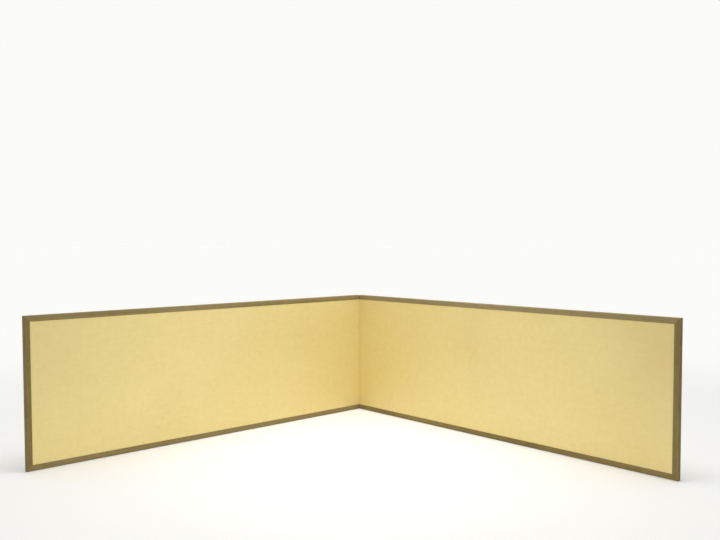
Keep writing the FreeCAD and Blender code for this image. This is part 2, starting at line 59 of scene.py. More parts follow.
MM = 0.001
WIDE, HIGH, DEEP, FACE = 909.0, 333.0, 12.1, 12.7
CLEAR, HALF, FOLD_Y = 0.15, math.radians(41.75), 297.818
GAP, RAIL_GAP = 0.42, 0.05
RECESS, GOLD_IN, BACK_IN, BACK_OUT = 0.40, 0.65, 11.45, 11.70
CORE_LOW, CORE_HIGH = FACE, HIGH - FACE
EDGE_IN = 0.72
WING_COUNT, WING_SLIT = 6, 0.6
PITCH = (CORE_HIGH - CORE_LOW) / WING_COUNT
SIDES = ((-1, "left"), (1, "right"))


def turn(side, s, y):
    """Flat layout (s outwards from the fold, y from the front to the back) to plan position, in millimetres."""
    a = -side * HALF
    x = side * np.asarray(s, float)
    y = np.asarray(y, float)
    bx, by = side * CLEAR * math.sin(HALF), FOLD_Y + CLEAR * math.cos(HALF)
    return bx + x * math.cos(a) - y * math.sin(a), by + x * math.sin(a) + y * math.cos(a)


def world(side, s, y, z):
    """Flat layout to the row frame, in metres."""
    px, py = turn(side, s, y)
    px, py, z = np.broadcast_arrays(px, py, np.asarray(z, float))
    return np.stack([px, py, z], -1).reshape(-1, 3) * MM


def waves(seed, low, high, count=5):
    """A smooth random line between 0 and 1, with wavelengths from low to high millimetres."""
    rng = np.random.default_rng(seed)
    length = np.exp(rng.uniform(math.log(low), math.log(high), count))
    phase = rng.uniform(0, 2 * math.pi, count)
    weight = (length / length.max()) ** 0.5
    weight /= weight.sum()

    def line(t):
        t = np.asarray(t, float)
        return 0.5 + 0.5 * sum(w * np.sin(2 * math.pi * t / l + p) for w, l, p in zip(weight, length, phase))

    return line


def ripples(seed, low, high, count=14):
    """A smooth random surface between about 0 and 1, with wavelengths from low to high millimetres."""
    rng = np.random.default_rng(seed)
    length = np.exp(rng.uniform(math.log(low), math.log(high), count))
    heading = rng.uniform(0, math.pi, count)
    phase = rng.uniform(0, 2 * math.pi, count)

    def surface(a, b):
        total = 0
        for l, h, p in zip(length, heading, phase):
            total = total + np.sin(2 * math.pi * (a * math.cos(h) + b * math.sin(h)) / l + p)
        return np.clip(0.5 + total / (2.6 * math.sqrt(count)), 0, 1)

    return surface


def make(name, points, faces, materials, slot, index=None, sharp=32.0, **attributes):
    """A closed mesh, in the row frame, with its normals outwards."""
    mesh = bpy.data.meshes.new(name)
    mesh.from_pydata([tuple(p) for p in np.asarray(points, float)], [], [tuple(int(i) for i in f) for f in faces])
    for material in materials:
        mesh.materials.append(material)
    if index is not None:
        mesh.polygons.foreach_set("material_index", np.asarray(index, np.int32))
    bm = bmesh.new()
    bm.from_mesh(mesh)
    bmesh.ops.recalc_face_normals(bm, faces=bm.faces)
    bm.to_mesh(mesh)
    bm.free()
    mesh.polygons.foreach_set("use_smooth", [True] * len(mesh.polygons))
    mesh.set_sharp_from_angle(angle=math.radians(sharp))
    for key, values in attributes.items():
        values = np.asarray(values, np.float32)
        kind, field = ("FLOAT", "value") if values.ndim == 1 else ("FLOAT_VECTOR", "vector")
        mesh.attributes.new(key, kind, "POINT").data.foreach_set(field, values.ravel())
    mesh.update()
    obj = bpy.data.objects.new(name, mesh)
    bpy.context.scene.collection.objects.link(obj)
    return obj


def tube_faces(rings, around):
    """Quads between rings of points and a flat cap on each end."""
    faces = []
    for r in range(rings - 1):
        for k in range(around):
            a, b = r * around + k, r * around + (k + 1) % around
            faces.append((a, b, b + around, a + around))
    faces.append(tuple(range(around - 1, -1, -1)))
    faces.append(tuple((rings - 1) * around + k for k in range(around)))
    return faces


# ---------------------------------------------------------------- materials


class Paint:
    """A node material with a Principled shader, and short words for its nodes."""

    def __init__(self, name):
        self.material = bpy.data.materials.new(name)
        self.material.use_nodes = True
        self.tree = self.material.node_tree
        self.tree.nodes.clear()
        self.shader = self.tree.nodes.new("ShaderNodeBsdfPrincipled")
        out = self.tree.nodes.new("ShaderNodeOutputMaterial")
        self.tree.links.new(self.shader.outputs["BSDF"], out.inputs["Surface"])

    def put(self, socket, value):
        if isinstance(value, bpy.types.NodeSocket):
            self.tree.links.new(value, socket)
        else:
            socket.default_value = value

    def set(self, **values):
        for key, value in values.items():
            self.put(self.shader.inputs[key.replace("_", " ")], value)
        return self

    def flat(self, name="flat"):
        node = self.tree.nodes.new("ShaderNodeAttribute")
        node.attribute_name = name
        return node.outputs["Vector"]

    def level(self, name):
        node = self.tree.nodes.new("ShaderNodeAttribute")
        node.attribute_name = name
        return node.outputs["Fac"]

    def own(self, scale=(1, 1, 1), rotation=(0, 0, 0), location=(0, 0, 0)):
        """Object coordinates, turned into a member's own directions and stretched."""
        coords = self.tree.nodes.new("ShaderNodeTexCoord").outputs["Object"]
        node = self.tree.nodes.new("ShaderNodeMapping")
        node.vector_type = "TEXTURE"
        self.put(node.inputs["Vector"], coords)
        node.inputs["Location"].default_value = location
        node.inputs["Rotation"].default_value = rotation
        return self.stretch(node.outputs["Vector"], scale)

    def stretch(self, vector, scale, location=(0, 0, 0), rotation=(0, 0, 0)):
        node = self.tree.nodes.new("ShaderNodeMapping")
        self.put(node.inputs["Vector"], vector)
        node.inputs["Scale"].default_value = scale
        node.inputs["Location"].default_value = location
        node.inputs["Rotation"].default_value = rotation
        return node.outputs["Vector"]

    def noise(self, vector, scale, detail=2.0, roughness=0.5, distortion=0.0):
        node = self.tree.nodes.new("ShaderNodeTexNoise")
        self.put(node.inputs["Vector"], vector)
        node.inputs["Scale"].default_value = scale
        node.inputs["Detail"].default_value = detail
        node.inputs["Roughness"].default_value = roughness
        node.inputs["Distortion"].default_value = distortion
        return node.outputs["Fac"]

    def cells(self, vector, scale, feature="F1", randomness=1.0):
        node = self.tree.nodes.new("ShaderNodeTexVoronoi")
        node.feature = feature
        self.put(node.inputs["Vector"], vector)
        node.inputs["Scale"].default_value = scale
        node.inputs["Randomness"].default_value = randomness
        return node.outputs["Distance"]

    def math(self, operation, a, b=0.0, clamp=False):
        node = self.tree.nodes.new("ShaderNodeMath")
        node.operation = operation
        node.use_clamp = clamp
        self.put(node.inputs[0], a)
        self.put(node.inputs[1], b)
        return node.outputs[0]

    def span(self, value, low, high, to_low=0.0, to_high=1.0, smooth=True):
        node = self.tree.nodes.new("ShaderNodeMapRange")
        node.interpolation_type = "SMOOTHSTEP" if smooth else "LINEAR"
        self.put(node.inputs["Value"], value)
        node.inputs["From Min"].default_value = low
        node.inputs["From Max"].default_value = high
        node.inputs["To Min"].default_value = to_low
        node.inputs["To Max"].default_value = to_high
        return node.outputs["Result"]

    def sum(self, base, *terms):
        """base plus each weight times how far its noise is from a half."""
        total = None
        for weight, value in terms:
            part = self.math("MULTIPLY", value, weight)
            total = part if total is None else self.math("ADD", total, part)
            base -= weight / 2
        return self.math("ADD", total, base)

    def mix(self, amount, a, b, blend="MIX"):
        node = self.tree.nodes.new("ShaderNodeMix")
        node.data_type = "RGBA"
        node.blend_type = blend
        node.clamp_factor = True
        self.put(node.inputs[0], amount)
        self.put(node.inputs[6], a if isinstance(a, bpy.types.NodeSocket) else (*a, 1.0))
        self.put(node.inputs[7], b if isinstance(b, bpy.types.NodeSocket) else (*b, 1.0))
        return node.outputs[2]

    def bump(self, height, distance, normal=None):
        node = self.tree.nodes.new("ShaderNodeBump")
        node.inputs["Strength"].default_value = 1.0
        node.inputs["Distance"].default_value = distance
        self.put(node.inputs["Height"], height)
        if normal is not None:
            self.put(node.inputs["Normal"], normal)
        return node.outputs["Normal"]

    def threads(self, vector, scale, thick, where=(0, 0, 0), keep=(0.50, 0.58)):
        """Long thin curling fibres, broken into pieces."""
        moved = self.stretch(vector, (1, 1, 1), location=where)
        ridge = self.math("ABSOLUTE", self.math("SUBTRACT", self.noise(moved, scale, 1.6, 0.5, 0.8), 0.5))
        line = self.span(ridge, thick, thick * 0.2)
        return self.math("MULTIPLY", line, self.span(self.noise(moved, scale * 1.7, 1.0, 0.5), keep[0], keep[1]))

    def fibres(self, vector, scale, length, angle, low, high):
        """Thin short strokes lying one way."""
        turned = self.stretch(vector, (1, 1, 1), rotation=(0, angle, 0))
        drawn = self.stretch(turned, (1.0 / length, 1, 1))
        return self.span(self.noise(drawn, scale, 1.0, 0.4, 0.35), low, high)


def gold():
    p = Paint("gold_paper")
    at = p.flat()
    pores = p.noise(at, 1150, 2.0, 0.6)
    grain = p.noise(at, 420, 3.0, 0.62)
    clouds = p.noise(at, 62, 3.0, 0.55, 0.3)
    tone = p.noise(at, 5.5, 2.0, 0.5, 0.4)
    laid = p.noise(p.stretch(at, (14, 14, 330)), 1.0, 2.0, 0.55)
    one = p.fibres(at, 640, 9.0, 0.35, 0.60, 0.76)
    two = p.fibres(p.stretch(at, (1, 1, 1), location=(3.1, 0, 1.7)), 600, 9.0, -0.75, 0.61, 0.77)
    strands = p.math("MAXIMUM", one, two)
    blend = p.sum(0.5, (0.85, grain), (0.45, pores), (0.55, clouds), (0.55, tone), (0.35, laid))
    colour = p.mix(blend, (0.764, 0.612, 0.242), (0.903, 0.762, 0.370))
    colour = p.mix(p.math("MULTIPLY", strands, 0.16), colour, (0.93, 0.825, 0.47))
    # the edge attribute darkens the gold near the sheet's border, and also carries the painted shade by the fold and at
    # the outer top corner
    edge = p.level("edge")
    colour = p.mix(p.math("MULTIPLY", edge, 0.30), colour, (0.62, 0.47, 0.18))
    height = p.sum(0.5, (1.0, grain), (0.45, pores), (0.5, laid))
    height = p.math("ADD", height, p.math("MULTIPLY", strands, 0.35))
    height = p.math("ADD", height, p.math("MULTIPLY", clouds, 2.2))
    p.set(
        Base_Color=colour,
        Metallic=0.45,
        Roughness=p.math("ADD", p.sum(0.47, (0.16, grain), (0.10, clouds), (0.08, tone)), p.math("MULTIPLY", strands, 0.06)),
        Normal=p.bump(height, 0.00006),
    )
    return p.material


def torinoko():
    p = Paint("back_paper")
    at = p.flat()
    grain = p.noise(at, 520, 3.0, 0.6)
    clouds = p.noise(at, 38, 3.0, 0.55, 0.4)
    tone = p.noise(at, 4.5, 2.0, 0.5, 0.4)
    one = p.threads(at, 34, 0.0075)
    two = p.threads(at, 52, 0.009, (2.3, 0, 4.1))
    three = p.threads(at, 85, 0.011, (7.9, 0, 0.6), (0.54, 0.60))
    strands = p.math("MAXIMUM", p.math("MAXIMUM", one, two), three)
    flecks = p.span(p.cells(p.stretch(at, (0.45, 1, 1)), 95), 0.055, 0.02)
    blend = p.sum(0.5, (0.5, grain), (0.9, clouds), (0.8, tone))
    colour = p.mix(blend, (0.655, 0.575, 0.415), (0.765, 0.695, 0.535))
    colour = p.mix(p.math("MULTIPLY", strands, 0.34), colour, (0.86, 0.80, 0.66))
    colour = p.mix(p.math("MULTIPLY", flecks, 0.45), colour, (0.40, 0.29, 0.15))
    colour = p.mix(p.math("MULTIPLY", p.level("edge"), 0.35), colour, (0.44, 0.34, 0.20))
    height = p.sum(0.5, (0.8, grain), (1.6, clouds))
    height = p.math("ADD", height, p.math("MULTIPLY", strands, 0.7))
    p.set(Base_Color=colour, Roughness=p.sum(0.78, (0.14, grain), (0.08, clouds)), Normal=p.bump(height, 0.00008))
    p.shader.inputs["Specular IOR Level"].default_value = 0.32
    return p.material


def tough_paper(name="hinge_paper", dark=(0.60, 0.52, 0.37), light=(0.74, 0.67, 0.51)):
    p = Paint(name)
    at = p.flat()
    grain = p.noise(at, 900, 3.0, 0.6)
    clouds = p.noise(at, 70, 3.0, 0.55, 0.4)
    strands = p.math("MAXIMUM", p.threads(at, 75, 0.016), p.threads(at, 130, 0.020, (5.3, 0, 2.1)))
    colour = p.mix(p.sum(0.5, (0.7, grain), (0.9, clouds)), dark, light)
    colour = p.mix(p.math("MULTIPLY", strands, 0.38), colour, tuple(min(1.0, c * 1.18) for c in light))
    height = p.math("ADD", p.sum(0.5, (0.8, grain), (0.8, clouds)), p.math("MULTIPLY", strands, 0.6))
    p.set(Base_Color=colour, Roughness=p.sum(0.80, (0.16, grain)), Normal=p.bump(height, 0.00006))
    p.shader.inputs["Specular IOR Level"].default_value = 0.3
    return p.material


def frame_wood():
    """Fine straight-grained wood, stained brown, under a thin semi-matte lacquer. x of the attribute runs along the grain."""
    p = Paint("frame_wood")
    at = p.flat("grain")
    bend = p.noise(p.stretch(at, (3.2, 26, 26)), 1.0, 2.0, 0.5)
    swirl = p.tree.nodes.new("ShaderNodeVectorMath")
    swirl.operation = "MULTIPLY_ADD"
    lift = p.tree.nodes.new("ShaderNodeCombineXYZ")
    p.put(lift.inputs[1], p.math("MULTIPLY", p.math("SUBTRACT", bend, 0.5), 0.010))
    p.put(lift.inputs[2], p.math("MULTIPLY", p.math("SUBTRACT", bend, 0.5), 0.006))
    p.put(swirl.inputs[0], at)
    swirl.inputs[1].default_value = (1, 1, 1)
    p.put(swirl.inputs[2], lift.outputs[0])
    along = swirl.outputs[0]
    rings = p.noise(p.stretch(along, (1.6, 520, 240)), 1.0, 3.0, 0.6)
    fine = p.noise(p.stretch(along, (26, 2300, 1500)), 1.0, 2.0, 0.55)
    pores = p.span(p.noise(p.stretch(along, (75, 3100, 2100), location=(1.3, 0.4, 0.9)), 1.0, 1.0, 0.5), 0.60, 0.74)
    tone = p.noise(p.stretch(at, (4.5, 30, 30)), 1.0, 3.0, 0.55, 0.3)
    cloud = p.noise(at, 55, 3.0, 0.6, 0.4)
    # painted sheen: the rails' colour made lighter than the stiles', for the light their lengthwise grain catches; the
    # same attribute darkens the stiles' outer sides
    blend = p.math("ADD", p.sum(0.5, (1.15, rings), (0.75, fine), (0.75, tone), (0.45, cloud)), p.level("stain"))
    colour = p.mix(blend, (0.128, 0.089, 0.026), (0.292, 0.218, 0.086))
    # painted reflection: the lacquer's colour greyed as if it mirrored the pale studio, most at mid-length
    colour = p.mix(p.math("MULTIPLY", p.level("haze"), p.sum(1.0, (0.6, cloud), (0.5, fine))), colour, (0.36, 0.34, 0.27))
    colour = p.mix(p.math("MULTIPLY", pores, 0.50), colour, (0.075, 0.043, 0.018))
    rub = p.span(p.math("MULTIPLY", p.level("wear"), p.sum(0.62, (1.5, p.noise(p.stretch(at, (0.35, 1, 1)), 190, 3.0, 0.65)))), 0.30, 0.85)
    colour = p.mix(p.math("MULTIPLY", rub, 0.36), colour, (0.46, 0.36, 0.18))
    # darker at each member's ends: the end grain takes the stain darker, and the same dark line is painted shade in the
    # joints at the fold and at the mitres
    colour = p.mix(p.math("MULTIPLY", p.level("end"), 0.8), colour, (0.055, 0.034, 0.013))
    height = p.math("SUBTRACT", p.sum(0.5, (0.8, rings), (0.7, fine)), p.math("MULTIPLY", pores, 0.9))
    p.set(
        Base_Color=colour,
        Roughness=p.math("ADD", p.sum(0.62, (0.14, fine), (0.14, cloud)), p.math("MULTIPLY", pores, 0.15)),
        Normal=p.bump(height, 0.00005),
    )
    p.shader.inputs["Specular IOR Level"].default_value = 0.16
    return p.material


def raw_wood(name, upright, side, dark, light, ring=260.0):
    """Planed softwood of the core. Its coordinates are the panel's own, with the grain along or up."""
    p = Paint(name)
    base = (side * CLEAR * math.sin(HALF) * MM, (FOLD_Y + CLEAR * math.cos(HALF)) * MM, 0)
    at = p.own(rotation=(0, 0, -side * HALF), location=base)
    if upright:
        at = p.stretch(at, (1, 1, 1), rotation=(0, math.radians(90), 0))
    bend = p.noise(p.stretch(at, (2.5, 14, 14)), 1.0, 2.0, 0.5)
    rings = p.noise(p.stretch(at, (1.1, ring, ring), location=(0.2, 1.7, 0.3)), 1.0, 3.0, 0.6, 0.4)
    fine = p.noise(p.stretch(at, (20, 1900, 1900)), 1.0, 2.0, 0.55)
    blend = p.sum(0.5, (1.4, rings), (0.5, fine), (0.7, bend))
    colour = p.mix(blend, dark, light)
    p.set(Base_Color=colour, Roughness=p.sum(0.66, (0.2, fine), (0.12, rings)), Normal=p.bump(p.sum(0.5, (0.8, rings), (0.7, fine)), 0.00006))
    p.shader.inputs["Specular IOR Level"].default_value = 0.35
    return p.material


def layered_paper():
    """Under-paper, seen only at its edges: a thick laid mulberry sheet."""
    p = Paint("under_paper")
    at = p.own()
    grain = p.noise(at, 700, 3.0, 0.6)
    clouds = p.noise(at, 40, 3.0, 0.55, 0.4)
    strands = p.span(p.noise(p.stretch(at, (60, 60, 800), rotation=(0.2, 0.3, 0.5)), 1.0, 1.0, 0.4, 0.4), 0.60, 0.74)
    layers = p.noise(p.stretch(at, (40, 40, 40)), 90, 2.0)
    colour = p.mix(p.sum(0.5, (0.6, grain), (0.8, clouds), (0.3, layers)), (0.66, 0.59, 0.46), (0.80, 0.74, 0.62))
    colour = p.mix(p.math("MULTIPLY", strands, 0.4), colour, (0.88, 0.84, 0.74))
    p.set(Base_Color=colour, Roughness=p.sum(0.85, (0.15, grain)), Normal=p.bump(p.sum(0.5, (0.9, grain), (0.8, clouds)), 0.00008))
    p.shader.inputs["Specular IOR Level"].default_value = 0.3
    return p.material


def bamboo():
    p = Paint("bamboo")
    at = p.own()
    strips = p.noise(p.stretch(at, (900, 900, 900)), 1.0, 2.0, 0.6)
    cloud = p.noise(at, 160, 2.0, 0.6)
    p.set(
        Base_Color=p.mix(p.sum(0.5, (0.9, strips), (0.7, cloud)), (0.56, 0.42, 0.18), (0.74, 0.60, 0.32)),
        Roughness=p.sum(0.42, (0.2, strips)),
        Normal=p.bump(strips, 0.00005),
    )
    return p.material


GOLD, BACK, TOUGH, WOOD = gold(), torinoko(), tough_paper(), frame_wood()

# ---------------------------------------------------------------- the frame's members


def member_profile():
    """The frame's section as a closed line: u outwards from the paper, y from the front, and how worn each point is."""
    outer, inner, soft = 1.0, 0.3, 0.31
    u, y, wear = [], [], []

    def arc(cu, cy, r, start, steps, worn):
        for k in range(steps + 1):
            a = math.radians(start + 90 * k / steps)
            u.append(cu + r * math.cos(a))
            y.append(cy + r * math.sin(a))
            wear.append(worn * math.sin(math.pi * (k + 0.5) / (steps + 1)) ** 0.5)

    def eased(u0_, y0_, u1_, y1_, in_u, in_y, steps=7):
        """A chamfer whose two edges are rubbed soft, from one point to the other."""
        for k in range(steps + 1):
            t = k / steps
            u.append((1 - t) ** 2 * u0_ + 2 * t * (1 - t) * in_u + t * t * u1_)
            y.append((1 - t) ** 2 * y0_ + 2 * t * (1 - t) * in_y + t * t * y1_)
            wear.append(math.sin(math.pi * (k + 0.5) / (steps + 1)) ** 0.5)

    def run(to_u, to_y, count):
        from_u, from_y = u[-1], y[-1]
        for k in range(1, count + 1):
            t = k / (count + 1)
            u.append(from_u + (to_u - from_u) * t)
            y.append(from_y + (to_y - from_y) * t)
            wear.append(0.0)

    arc(inner, inner, inner, 180, 4, 0.5)
    run(FACE - outer, 0, 7)
    eased(FACE - outer, 0, FACE, outer, FACE - soft, soft)
    run(FACE, DEEP - outer, 5)
    eased(FACE, DEEP - outer, FACE - outer, DEEP, FACE - soft, DEEP - soft)
    run(inner, DEEP, 7)
    arc(inner, DEEP - inner, inner, 90, 4, 0.5)
    run(0, inner, 3)
    return np.array(u), np.array(y), np.array(wear)


def member(name, side, kind, seed, stain, outside=0.0, haze=0.0):
    """One member of the frame. The value after the seed is how much lighter than the outer stiles its colour is
    painted: painted sheen, for the light that a lengthwise grain catches from above and from the floor. outside is how
    much darker its outer side is than its face, and the last value is how far its lacquer's colour is greyed: a painted
    reflection of the pale studio, most at mid-length."""
    u0, y0, worn = member_profile()
    n = len(u0)
    if kind == "stile":
        low, high = FACE - u0, HIGH - FACE + u0
        start_cut = True
    else:
        low, high = np.full(n, RAIL_GAP), WIDE - FACE + u0
        start_cut = False
    length = float((high - low).mean())
    near = [0.0, 0.08, 0.18, 0.32, 0.6, 1.2, 2.5] if start_cut else [0.0, 0.02, 0.05, 0.10, 0.18, 0.28, 0.5, 1.0, 2.0]
    far = [length - d for d in (2.5, 1.2, 0.6, 0.32, 0.18, 0.08, 0.0)]
    along = np.concatenate([near, np.linspace(near[-1] + 3, far[0] - 3, 46 if start_cut else 130), far])
    front, back, out, arris = (waves(seed + k, 70, 620) for k in range(4))
    points, grain, wears, ends, hazes = [], [], [], [], []
    for d in along:
        t = low + (high - low) * (d / length)
        squeeze = 0.0
        rest = length - d
        if rest < 0.32:
            squeeze = 0.14 * (1 - rest / 0.32) ** 1.6
        if start_cut and d < 0.32:
            squeeze = max(squeeze, 0.14 * (1 - d / 0.32) ** 1.6)
        if not start_cut and d < 0.28:
            squeeze = 0.28 * (1 - math.sqrt(max(0.0, 1 - (1 - d / 0.28) ** 2)))
        a = 0.05 * front(t) + squeeze + 0.03 * (2 * u0 / FACE - 1) ** 2
        b = 0.05 * back(t) + squeeze + 0.03 * (2 * u0 / FACE - 1) ** 2
        c = 0.05 * out(t) + squeeze + 0.03 * (2 * y0 / DEEP - 1) ** 2
        y = a + y0 * (DEEP - a - b) / DEEP
        u = u0 * (FACE - c) / FACE
        if kind == "stile":
            points.append(world(side, WIDE - FACE + u, y, t))
        elif kind == "top":
            points.append(world(side, t, y, HIGH - FACE + u))
        else:
            points.append(world(side, t, y, FACE - u))
        grain.append(np.stack([t * MM + seed * 1.37, u * MM + seed * 0.61, y * MM + seed * 0.23], -1))
        wears.append(np.clip(worn * (0.55 + 0.45 * arris(t)), 0, 1))
        # end darkening: end grain, and painted shade in the joints at the fold and the mitres
        ends.append(np.full(n, math.exp(-min(d, rest) / 0.12)))
        # painted reflection along the member, strongest near mid-length
        hazes.append(np.full(n, haze * (1 + 0.8 * math.exp(-(((d - 490) / 150) ** 2)))))
    faces = tube_faces(len(along), n)
    # painted sheen of each member, less the darker tone of a stile's outer side
    stains = np.tile(stain - outside * np.clip((u0 - FACE + 0.6) / 0.5, 0, 1), len(along))
    return make(name, np.concatenate(points), faces, [WOOD], "frame_wood", grain=np.concatenate(grain), wear=np.concatenate(wears),
                end=np.concatenate(ends), haze=np.concatenate(hazes), stain=stains)


# painted sheen per member (top rail, bottom rail, stile): colour lighter for the light a lengthwise grain catches
PAINTED_SHEEN = {"left": (0.30, 0.27, 0.0), "right": (0.42, 0.20, 0.05)}
OUTSIDE = {"left": 0.10, "right": 0.34}
# painted reflection per member (top rail, bottom rail, stile): lacquer colour greyed by the pale studio
PAINTED_REFLECTION = {"left": (0.04, 0.05, 0.0), "right": (0.10, 0.0, 0.0)}
for side, word in SIDES:
    for k, (kind, node) in enumerate((("top", "frame_top_rail"), ("bottom", "frame_bottom_rail"), ("stile", "frame_outer_stile"))):
        piece = member("%s_%s_look" % (word, node), side, kind, 11 + 10 * k + (50 if side > 0 else 0), PAINTED_SHEEN[word][k],
                       OUTSIDE[word] if kind == "stile" else 0.0, PAINTED_REFLECTION[word][k])
        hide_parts("%s_%s" % (word, node))
        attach(piece, word + "_panel")

# ---------------------------------------------------------------- face and back papers


def face_sheet(name, side, outer, inner, material, slot, seed, hollow, wave, painted_shade=(0.0, 0.0)):
    """A pasted sheet that dips a little over the lattice's openings and is turned down at its border. outer is the
    shown face's y, and inner the hidden one's. The last argument is how much painted shade darkens it by the fold and
    at the outer top corner, where the gold lies in shade."""
    s0, s1, z0, z1 = GAP, WIDE - FACE, CORE_LOW, CORE_HIGH
    inset = np.array([0.0, 0.06, 0.16, 0.35, 0.8, 1.8])
    s = np.concatenate([s0 + inset, np.linspace(s0 + 4.5, s1 - 4.5, 190), (s1 - inset)[::-1]])
    z = np.concatenate([z0 + inset, np.linspace(z0 + 4.5, z1 - 4.5, 66), (z1 - inset)[::-1]])
    grid_s, grid_z = np.meshgrid(s, z, indexing="ij")
    member_wide, bar = 24.0, 10.0
    cell_s = (WIDE - FACE - GAP - 2 * member_wide) / 8
    cell_z = (CORE_HIGH - CORE_LOW - 2 * member_wide) / 3
    in_s = np.clip((grid_s - s0 - member_wide) / cell_s, 0, 8)
    in_z = np.clip((grid_z - z0 - member_wide) / cell_z, 0, 3)
    dip = np.abs(np.sin(math.pi * in_s)) ** 0.7 * np.abs(np.sin(math.pi * in_z)) ** 0.7
    slack = ripples(seed + 5, 150, 420, 8)(grid_s, grid_z)
    rough = ripples(seed, 26, 150, 18)(grid_s, grid_z)
    border = np.minimum(np.minimum(grid_s - s0, s1 - grid_s), np.minimum(grid_z - z0, z1 - grid_z))
    relief = hollow * dip * (0.4 + 0.6 * slack) + wave * rough * np.clip(border / 6, 0, 1)
    relief = relief + 0.10 * np.exp(-border / 0.16)
    sign = 1 if inner > outer else -1
    y = outer + sign * np.minimum(relief, abs(inner - outer) - 0.02)
    ns, nz = len(s), len(z)
    points = [world(side, grid_s, y, grid_z)]
    flat = [np.stack([grid_s * MM + (2.0 if side > 0 else 0.0), y * MM + seed, grid_z * MM], -1).reshape(-1, 3)]
    # painted shade: the gold darker by the fold and towards the outer top corner, where it lies in shade; it rides in
    # the edge attribute with the darkening near the border
    corner = ((s1 - grid_s) / 140) ** 2 + ((z1 - grid_z) / 215) ** 2
    painted_shade_mask = painted_shade[0] * np.exp(-(grid_s - s0) / 45) + painted_shade[1] * np.exp(-corner)
    edge = [(np.exp(-border / 0.9) * 0.9 + np.exp(-border / 5.0) * 0.12 + painted_shade_mask).ravel()]
    ring = [(i, 0) for i in range(ns)] + [(ns - 1, j) for j in range(1, nz)] + [(i, nz - 1) for i in range(ns - 2, -1, -1)] + [(0, j) for j in range(nz - 2, 0, -1)]
    below = {ij: ns * nz + k for k, ij in enumerate(ring)}
    ri, rj = np.array([r[0] for r in ring]), np.array([r[1] for r in ring])
    points.append(world(side, s[ri], np.full(len(ring), inner), z[rj]))
    flat.append(np.stack([s[ri] * MM + (2.0 if side > 0 else 0.0), np.full(len(ring), inner * MM + seed), z[rj] * MM], -1))
    edge.append(np.ones(len(ring)))
    faces = [(i * nz + j, (i + 1) * nz + j, (i + 1) * nz + j + 1, i * nz + j + 1) for i in range(ns - 1) for j in range(nz - 1)]
    for k in range(len(ring)):
        (ia, ja), (ib, jb) = ring[k], ring[(k + 1) % len(ring)]
        faces.append((ia * nz + ja, ib * nz + jb, below[ib, jb], below[ia, ja]))
    for i in range(ns - 1):
        loop = [below[i, 0], below[i + 1, 0]]
        if i + 1 == ns - 1:
            loop += [below[ns - 1, j] for j in range(1, nz - 1)]
        loop += [below[i + 1, nz - 1], below[i, nz - 1]]
        if i == 0:
            loop += [below[0, j] for j in range(nz - 2, 0, -1)]
        faces.append(tuple(loop))
    return make(name, np.concatenate(points), faces, [material], slot, flat=np.concatenate(flat), edge=np.concatenate(edge), sharp=50)


# painted shade on each gold sheet, by the fold and at the outer top corner
PAINTED_SHADE = {"left": (0.0, 0.60), "right": (0.75, 1.30)}
for side, word in SIDES:
    shift = 0 if side < 0 else 400
    piece = face_sheet(word + "_gold_sheet", side, RECESS, GOLD_IN, GOLD, "gold_paper", 101 + shift, 0.05, 0.09, PAINTED_SHADE[word])
    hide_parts(word + "_gold_paper")
    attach(piece, word + "_panel")
    piece = face_sheet(word + "_back_sheet", side, BACK_OUT, BACK_IN, BACK, "back_paper", 211 + shift, 0.07, 0.07)
    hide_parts(word + "_back_paper")
    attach(piece, word + "_panel")

# ---------------------------------------------------------------- the paper hinge


def bent_line(a, b, c, steps):
    """Points of the curve from a to c that b pulls."""
    t = np.linspace(0, 1, steps)[:, None]
    a, b, c = (np.array(p, float) for p in (a, b, c))
    return (1 - t) ** 2 * a + 2 * t * (1 - t) * b + t * t * c


def ribbon_section(line, thick):
    """The closed section of a strip of paper along a line, with rounded ends. The first half of its points lie on the
    line's left."""
    step = np.gradient(line, axis=0)
    step /= np.linalg.norm(step, axis=1)[:, None]
    left = np.stack([-step[:, 1], step[:, 0]], -1)
    h = thick / 2
    one, two = line + left * h, line - left * h
    end, start = line[-1] + step[-1] * h * 0.7, line[0] - step[0] * h * 0.7
    tip = [end + left[-1] * h * 0.55, end - left[-1] * h * 0.55]
    root = [start - left[0] * h * 0.55, start + left[0] * h * 0.55]
    return np.concatenate([one, tip, two[::-1], root]), len(line)


def strip_piece(name, section, half, z0, z1, to_world, seed, front, behind, swell=0.02, taper=0.10):
    """A strip with one section all the way up, its ends eased. Faces on the section's first half get one material and the
    others the second."""
    n = len(section)
    inset = np.array([0.0, 0.05, 0.14, 0.3])
    z = np.concatenate([z0 + inset, np.linspace(z0 + 1.2, z1 - 1.2, 14), (z1 - inset)[::-1]])
    sway = waves(seed, 12, 60)
    centre = section.mean(0)
    points, flat = [], []
    length = np.concatenate([[0], np.cumsum(np.linalg.norm(np.diff(section, axis=0), axis=1))])
    for zz in z:
        d = min(zz - z0, z1 - zz)
        ease = 1 - taper * max(0.0, 1 - d / 0.3) ** 2
        wave = 1 + swell * (float(sway(zz)) - 0.5)
        part = centre + (section - centre) * np.array([ease * wave, 1 - 0.01 * (1 - ease)])
        points.append(to_world(part[:, 0], part[:, 1], np.full(n, zz)))
        flat.append(np.stack([length * MM + 9.0, np.full(n, seed * 0.01), np.full(n, zz * MM)], -1))
    faces = tube_faces(len(z), n)
    index = [(0 if k < half - 1 else 1) for _ in range(len(z) - 1) for k in range(n)] + [1, 1]
    return make(name, np.concatenate(points), faces, [front, behind], "hinge_paper", index=index, sharp=55,
                flat=np.concatenate(flat), edge=np.full(n * len(z), 0.10))


def in_panel(side):
    return lambda s, y, z: world(side, s, y, z)


def about_fold(x, y, z):
    """Plan position about the front fold line, in millimetres, to the row frame."""
    return np.stack([x, y + FOLD_Y, z], -1) * MM


